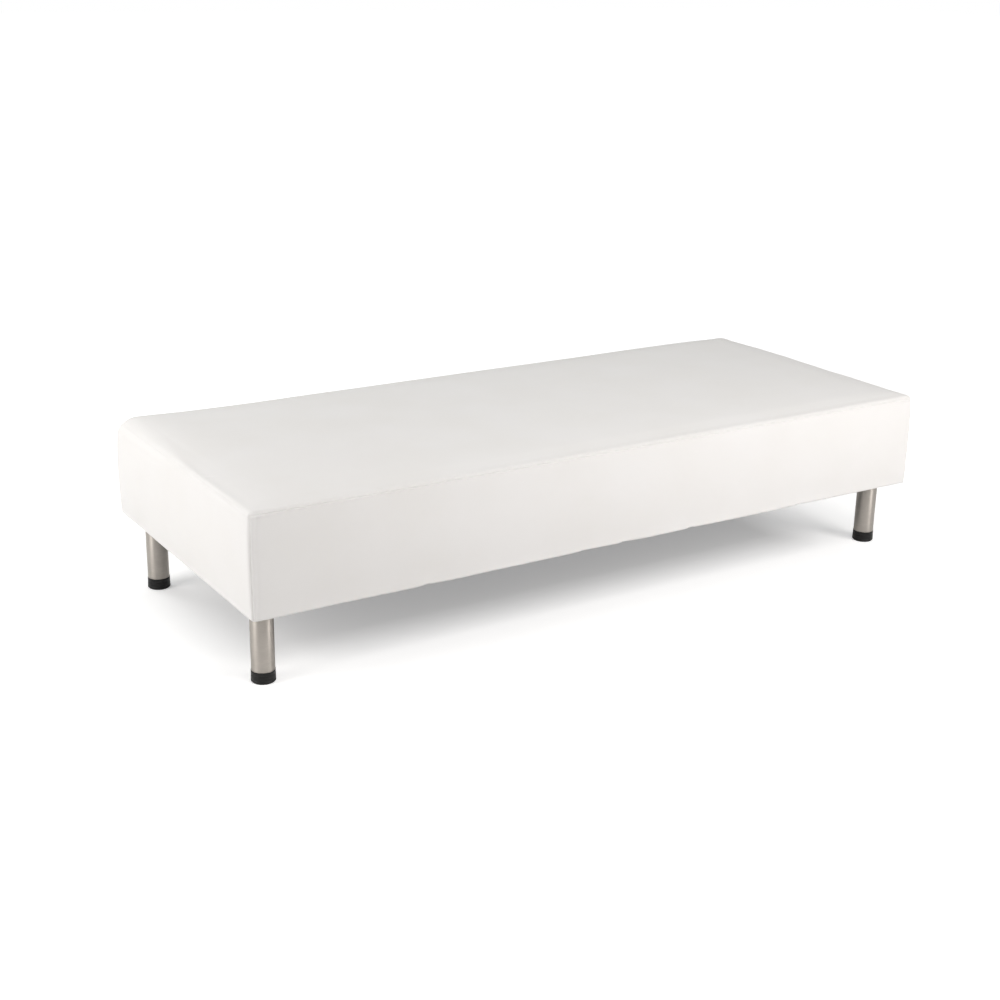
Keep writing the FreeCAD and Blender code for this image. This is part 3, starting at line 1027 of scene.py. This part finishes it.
def build_tube(corner, centre):
    """The tube, and the weld bead round its top."""
    inner = TUBE - TUBE_WALL
    outline = [(inner, TUBE_LOW), (TUBE, TUBE_LOW), (TUBE, TUBE_HIGH), (inner, TUBE_HIGH)]
    piece = turned("steel_tube_" + corner, eased(outline, TUBE_EASE, 2), centre)
    finish_piece(piece, "divan", (STEEL,), ("leg_tube_" + corner,))
    ring = [(TUBE - 0.0003 + 1.5 * BEAD * math.cos(a), TUBE_HIGH - 0.0002 + BEAD * (math.sin(a) - 0.7))
            for a in np.linspace(0, 2 * math.pi, 9)[:-1]]

    def rippled(a, r):
        return r + 0.00022 * abs(math.sin(BEAD_RIPPLES * a)) + 0.00010 * math.sin(5 * a)

    ripples = turned("weld_bead_" + corner, ring, centre, 180, rippled)
    finish_piece(ripples, "divan", (WELD,))


def build_insert(corner, centre):
    """The plug in the tube's end: a collar outside, and inside the tube a root with one rib."""
    bore, crest = STEM + 0.00005, TUBE - TUBE_WALL - 0.00005
    root, collar, inside = crest - RIB, TUBE + COLLAR_WALL, TUBE + 0.00002
    lip = TUBE_LOW - 0.00002
    middle = (TUBE_LOW + INSERT_TOP) / 2
    outline = [(bore, LIP_LOW), (collar, LIP_LOW), (collar, COLLAR_TOP), (inside, COLLAR_TOP),
               (inside, lip), (root, lip), (root, middle - RIB), (crest, middle), (root, middle + RIB),
               (root, INSERT_TOP), (bore, INSERT_TOP)]
    piece = turned("tube_plug_" + corner, eased(outline, INSERT_EASE, 2), centre)
    finish_piece(piece, "divan", (PLASTIC,), ("foot_insert_" + corner,))


def build_pad(corner, centre):
    """The levelling foot: a hollow underneath, a groove round its side, and a blind hole for the stem."""
    blind = STEM_LOW - 0.0001
    hollow = 0.0012
    groove = PAD - 0.0007
    outline = [(0, hollow), (0.020, hollow), (0.0212, 0), (PAD - 0.0022, 0), (PAD, 0.0022),
               (PAD - 0.0001, 0.0060), (groove, 0.0066), (groove, 0.0074), (PAD - 0.0002, 0.0080),
               (PAD - 0.0006, PAD_TOP), (STEM + 0.0004, PAD_TOP), (STEM, PAD_TOP - 0.0006),
               (STEM, blind), (0, blind)]
    piece = turned("levelling_foot_" + corner, eased(outline, PAD_EASE), centre)
    finish_piece(piece, "foot_" + corner, (PLASTIC,), ("foot_pad_" + corner,))


def build_stem(corner, centre):
    """A threaded rod: rings of points whose radius follows a helical ridge that fades at both ends."""
    sides, rings = STEM_SIDES, round((STEM_TOP - STEM_LOW) / PITCH * RINGS_PER_TURN)
    points = []
    for n in range(rings + 1):
        z = STEM_LOW + (STEM_TOP - STEM_LOW) * n / rings
        cut = min(1.0, n / 3.0, (rings - n) / 3.0)
        for s in range(sides):
            a = 2 * math.pi * s / sides
            phase = (z / PITCH - s / sides) % 1.0
            r = STEM - 0.00008 - THREAD * (abs(2 * phase - 1) * cut + (1 - cut) * 0.9)
            points.append((r * math.cos(a), r * math.sin(a), z))
    faces = joined_rings(rings + 1, sides)
    faces.append(tuple(reversed(range(sides))))
    faces.append(tuple(rings * sides + s for s in range(sides)))
    piece = mesh_object("threaded_stem_" + corner, points, faces)
    piece.location = (centre[0], centre[1], 0)
    finish_piece(piece, "foot_" + corner, (ZINC,), ("foot_stem_" + corner,))


def build_legs():
    for corner in CORNERS:
        for build in (build_tube, build_insert, build_pad, build_stem):
            build(corner, leg_centre(corner))


def dress_cad_nodes():
    """Materials for the CAD nodes that stay as they are."""
    finishes = {"rail_front": PINE[0], "rail_back": PINE[0], "rail_left": PINE[1], "rail_right": PINE[1],
                "seat_deck": PLYWOOD, "leg_screws": ZINC}
    finishes.update({f"cross_rail_{n}": PINE[1] for n in (1, 2, 3)})
    finishes.update({"corner_block_" + c: PINE[2] for c in CORNERS})
    finishes.update({"leg_plate_" + c: POWDER for c in CORNERS})
    for node, material in finishes.items():
        NODES[node].data.materials.clear()
        NODES[node].data.materials.append(material)


# Camera, at the photo's viewing angle
FOCAL_PIXELS = 1606.95
FRAME_PIXELS = 1000
SENSOR = 36.0
AZIMUTH, ELEVATION, ROLL = (math.radians(a) for a in (32.52, 19.05, 1.02))
CAMERA_PLACE = (-2.05878, -3.09573, 1.44297)


def make_camera():
    level_reach = math.cos(ELEVATION)
    ahead = Vector((math.sin(AZIMUTH) * level_reach, math.cos(AZIMUTH) * level_reach, -math.sin(ELEVATION)))
    level = ahead.cross(Vector((0, 0, 1))).normalized()
    upright = level.cross(ahead)
    right = level * math.cos(ROLL) + upright * math.sin(ROLL)
    up = upright * math.cos(ROLL) - level * math.sin(ROLL)
    turn = Matrix((right, up, -ahead)).transposed().to_4x4()
    data = bpy.data.cameras.new("camera")
    data.sensor_width = SENSOR
    data.lens = FOCAL_PIXELS / FRAME_PIXELS * SENSOR
    camera = new_object("camera", data)
    camera.matrix_world = Matrix.Translation(CAMERA_PLACE) @ turn
    bpy.context.scene.camera = camera


# Lights
WARM = (1.0, 0.975, 0.955)
COOL = (0.985, 1.0, 0.99)
LAMPS = {  # name: (azimuth, elevation, watts, colour), azimuth 0 being in front and -90 at the left end
    "right_of_camera": (30, 20, 45, WARM),
    "left_end": (-90, 20, 41, WARM),
    "high_front": (0, 50, 35, WARM),
    "left_back": (-150, 20, 26, COOL),
    "right_back": (135, 50, 17, COOL),
    "high_back": (180, 50, 6, COOL),
    "behind_left": (-120, 20, 5, COOL),
}
LAMP_DISTANCE = 3.2
LAMP_SIZE = 1.4
LAMP_TARGET = Vector((0, 0, 0.3))


def make_lamps():
    for name, (azimuth, elevation, watts, colour) in LAMPS.items():
        a, e = math.radians(azimuth), math.radians(elevation)
        away = Vector((math.sin(a) * math.cos(e), -math.cos(a) * math.cos(e), math.sin(e)))
        data = bpy.data.lights.new(name, "AREA")
        data.shape = "SQUARE"
        data.size = LAMP_SIZE
        data.energy = watts
        data.color = colour
        lamp = new_object(name, data)
        lamp.location = LAMP_TARGET + away * LAMP_DISTANCE
        lamp.rotation_euler = (-away).to_track_quat("-Z", "Y").to_euler()


# Floor and backdrop. The glow is a grey at each share of GLOW_RANGE away from the divan's shadow: its low
# greys near the divan are painted shade round the cast shadow, and its full white far off is the plain
# backdrop
FLOOR_HALF = 30
FLOOR_COLOUR = (0.80, 0.80, 0.80)
SHADOW_CENTRE = (-0.06, 0.05, 0)
SHADOW_HALF = (0.70, 0.20, 0)
GLOW_RANGE = 2.5
# The low greys near the divan are painted shade; the full white far off is the backdrop
FLOOR_GLOW_AND_PAINTED_SHADE = ((0.0, 0.28), (0.06, 0.52), (0.24, 0.60), (0.60, 0.82), (1.0, 1.0))
MIRRORED_GLOW = 0.35
ROOM_FILL = 0.09
ROOM_GLOSS = 0.22
BACKDROP_AZIMUTH = math.radians(32.5)
BACKDROP_EDGE = (0.55, 0.90)


def floor_glow_and_painted_shade(nodes):
    """Light that the floor gives off, by the distance from the divan's shadow and by who looks.
    It is full for the camera, less in mirrors and none as light on the object. Dimmed near the divan, it is
    painted shade round the cast shadow."""
    place = nodes.add("ShaderNodeTexCoord").outputs["Object"]
    place = nodes.vector("ABSOLUTE", nodes.vector("SUBTRACT", place, SHADOW_CENTRE))
    outside = nodes.vector("MAXIMUM", nodes.vector("SUBTRACT", place, SHADOW_HALF), (0, 0, 0))
    distance = nodes.vector("LENGTH", outside, result="Value")
    stops = [(position, (grey, grey, grey)) for position, grey in FLOOR_GLOW_AND_PAINTED_SHADE]
    # The glow is weakest near the divan: painted shade round its cast shadow
    level = nodes.ramp(nodes.spread(distance, 0, 1, 0, GLOW_RANGE), *stops)
    path = nodes.add("ShaderNodeLightPath").outputs
    seen = nodes.spread(path["Is Camera Ray"], MIRRORED_GLOW, 1.0)
    unlit = nodes.spread(path["Is Diffuse Ray"], 1.0, 0.0)
    strength = nodes.calculate("MULTIPLY", nodes.calculate("MULTIPLY", seen, unlit), level)
    return nodes.add("ShaderNodeEmission", {"Strength": strength}).outputs[0]


def make_floor():
    """A white floor that keeps the divan's cast shadow, with painted shade round it where its glow is weak,
    is pure white away from it, and open from below.
    """
    half = FLOOR_HALF
    corners = [(-half, -half, 0), (half, -half, 0), (half, half, 0), (-half, half, 0)]
    floor = mesh_object("floor", corners, [(0, 1, 2, 3)])
    material = bpy.data.materials.new("floor")
    material.use_nodes = True
    nodes = Nodes(material.node_tree)
    nodes.tree.nodes.clear()
    diffuse = nodes.add("ShaderNodeBsdfDiffuse", Color=(*FLOOR_COLOUR, 1)).outputs[0]
    lit = nodes.add("ShaderNodeAddShader", {0: diffuse, 1: floor_glow_and_painted_shade(nodes)}).outputs[0]
    from_below = nodes.add("ShaderNodeNewGeometry").outputs["Backfacing"]
    clear = nodes.add("ShaderNodeBsdfTransparent").outputs[0]
    shown = nodes.add("ShaderNodeMixShader", {"Fac": from_below, 1: lit, 2: clear}).outputs[0]
    nodes.add("ShaderNodeOutputMaterial", {"Surface": shown})
    floor.data.materials.append(material)


def make_backdrop():
    """A world that is white for the camera and through glass, and weak as light on the object.
    Mirrors see it white only in a band behind the divan, which gives the tubes their streaks."""
    world = bpy.data.worlds.new("studio")
    world.use_nodes = True
    nodes = Nodes(world.node_tree)
    background = nodes.tree.nodes["Background"]
    background.inputs["Color"].default_value = (1, 1, 1, 1)
    path = nodes.add("ShaderNodeLightPath").outputs
    direction = nodes.add("ShaderNodeTexCoord").outputs["Generated"]
    behind = (math.sin(BACKDROP_AZIMUTH), math.cos(BACKDROP_AZIMUTH), 0)
    facing = nodes.vector("DOT_PRODUCT", direction, behind, result="Value")
    band = nodes.spread(facing, ROOM_GLOSS, 1.0, *BACKDROP_EDGE)
    mirrored = nodes.calculate("MULTIPLY", path["Is Glossy Ray"], band)
    direct = nodes.spread(path["Is Camera Ray"], ROOM_FILL, 1.0)
    through = nodes.spread(path["Is Transmission Ray"], 0.0, 1.0)
    strength = nodes.calculate("MAXIMUM", nodes.calculate("MAXIMUM", mirrored, direct), through)
    nodes.tree.links.new(strength, background.inputs["Strength"])
    bpy.context.scene.world = world


blown = swelling()
build_padding(blown)
build_cover(blown)
build_dust_cover()
build_staples()
build_legs()
dress_cad_nodes()
make_camera()
make_lamps()
make_floor()
make_backdrop()
bpy.context.scene.view_settings.view_transform = "Standard"
